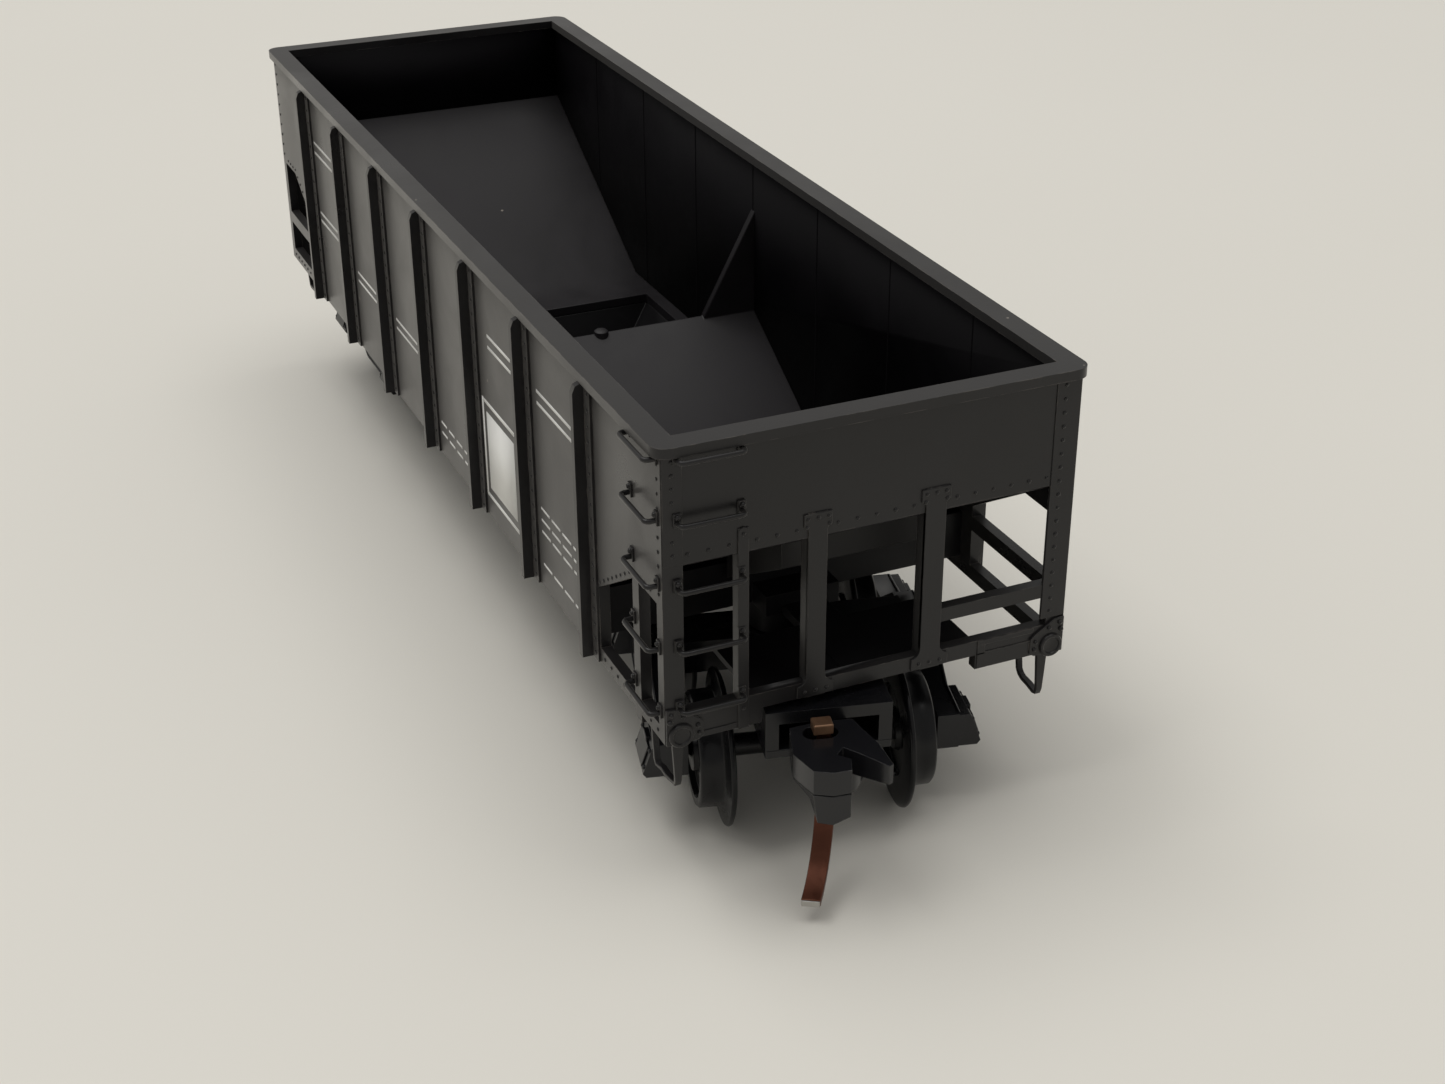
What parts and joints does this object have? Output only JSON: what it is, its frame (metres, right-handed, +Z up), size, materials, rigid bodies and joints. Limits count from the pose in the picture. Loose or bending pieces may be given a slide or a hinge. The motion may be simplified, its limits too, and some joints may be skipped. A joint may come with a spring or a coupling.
{
  "type": "model railway hopper car",
  "caption": "Open-top hopper car with ribbed sides, sloped floor and cross ridge on swivelling trucks, each with spinning wheelsets and a swinging knuckle coupler.",
  "frame": {"origin": "on the floor under the middle of the body, where the wheel flanges stand", "axes": "+X along the car towards the A end, the end without the brake wheel; +Y to the left seen from the B end; +Z up"},
  "size_m": [0.0738, 0.02, 0.0208],
  "materials": {
    "black_plastic": "satin black, moulded",
    "interior_plastic": "matt black, moulded",
    "wheel_plastic": "satin black plastic",
    "coupler_plastic": "satin black plastic",
    "copper_strip": "dull copper",
    "spring_steel": "drawn wire",
    "weight_steel": "blackened bar and sheet"
  },
  "bodies": {
    "car_body": {"body_shell": "black_plastic", "hopper_floor": "interior_plastic", "outlet_bay_a": "black_plastic", "outlet_doors_a": "black_plastic", "outlet_bay_b": "black_plastic", "outlet_doors_b": "black_plastic", "underframe": "black_plastic", "ridge_weight": "weight_steel", "slope_weight_a": "weight_steel", "slope_weight_b": "weight_steel", "side_ladder_a": "black_plastic", "end_ladder_a": "black_plastic", "side_ladder_b": "black_plastic", "end_ladder_b": "black_plastic", "stirrup_steps": "black_plastic", "kingpin_a": "black_plastic", "kingpin_b": "black_plastic", "brake_wheel": "black_plastic", "brake_housing": "black_plastic", "brake_step": "black_plastic", "air_reservoir": "black_plastic", "brake_cylinder": "black_plastic", "brake_valve": "black_plastic"},
    "truck_a": {"truck_frame_a": "black_plastic", "coupler_box_lid_a": "black_plastic"},
    "outer_axle_a": {"outer_wheelset_a": "wheel_plastic"},
    "inner_axle_a": {"inner_wheelset_a": "wheel_plastic"},
    "coupler_a": {"coupler_upper_a": "coupler_plastic", "coupler_spring_a": "spring_steel"},
    "knuckle_a": {"coupler_lower_a": "coupler_plastic", "trip_pin_a": "copper_strip"},
    "truck_b": {"truck_frame_b": "black_plastic", "coupler_box_lid_b": "black_plastic"},
    "outer_axle_b": {"outer_wheelset_b": "wheel_plastic"},
    "inner_axle_b": {"inner_wheelset_b": "wheel_plastic"},
    "coupler_b": {"coupler_upper_b": "coupler_plastic", "coupler_spring_b": "spring_steel"},
    "knuckle_b": {"coupler_lower_b": "coupler_plastic", "trip_pin_b": "copper_strip"}
  },
  "joints": [
    {"name": "truck_a_swivel", "type": "hinge", "parent": "car_body", "child": "truck_a", "pos_m": [0.02295, 0, 0.005], "axis": [0, 0, 1], "range_deg": [-0.6, 28.4]},
    {"name": "outer_axle_a_spin", "type": "hinge", "parent": "truck_a", "child": "outer_axle_a", "pos_m": [0.02804, -0.00126, 0.00354], "axis": [0.2402, 0.9707, 0], "continuous": true},
    {"name": "inner_axle_a_spin", "type": "hinge", "parent": "truck_a", "child": "inner_axle_a", "pos_m": [0.01786, 0.00126, 0.00354], "axis": [0.2402, 0.9707, 0], "continuous": true},
    {"name": "coupler_a_swing", "type": "hinge", "parent": "truck_a", "child": "coupler_a", "pos_m": [0.02945, -0.00161, 0.00644], "axis": [0, 0, 1], "range_deg": [-12, 12]},
    {"name": "knuckle_a_open", "type": "hinge", "parent": "coupler_a", "child": "knuckle_a", "pos_m": [0.02945, -0.00161, 0.00644], "axis": [0, 0, 1], "range_deg": [-6, 0]},
    {"name": "truck_b_swivel", "type": "hinge", "parent": "car_body", "child": "truck_b", "pos_m": [-0.02295, 0, 0.005], "axis": [0, 0, 1], "range_deg": [-14.5, 14.5]},
    {"name": "outer_axle_b_spin", "type": "hinge", "parent": "truck_b", "child": "outer_axle_b", "pos_m": [-0.02819, 0, 0.00354], "axis": [0, -1, 0], "continuous": true},
    {"name": "inner_axle_b_spin", "type": "hinge", "parent": "truck_b", "child": "inner_axle_b", "pos_m": [-0.01771, 0, 0.00354], "axis": [0, -1, 0], "continuous": true},
    {"name": "coupler_b_swing", "type": "hinge", "parent": "truck_b", "child": "coupler_b", "pos_m": [-0.02965, 0, 0.00644], "axis": [0, 0, 1], "range_deg": [-12, 12]},
    {"name": "knuckle_b_open", "type": "hinge", "parent": "coupler_b", "child": "knuckle_b", "pos_m": [-0.02965, 0, 0.00644], "axis": [0, 0, 1], "range_deg": [-6, 0]}
  ]
}
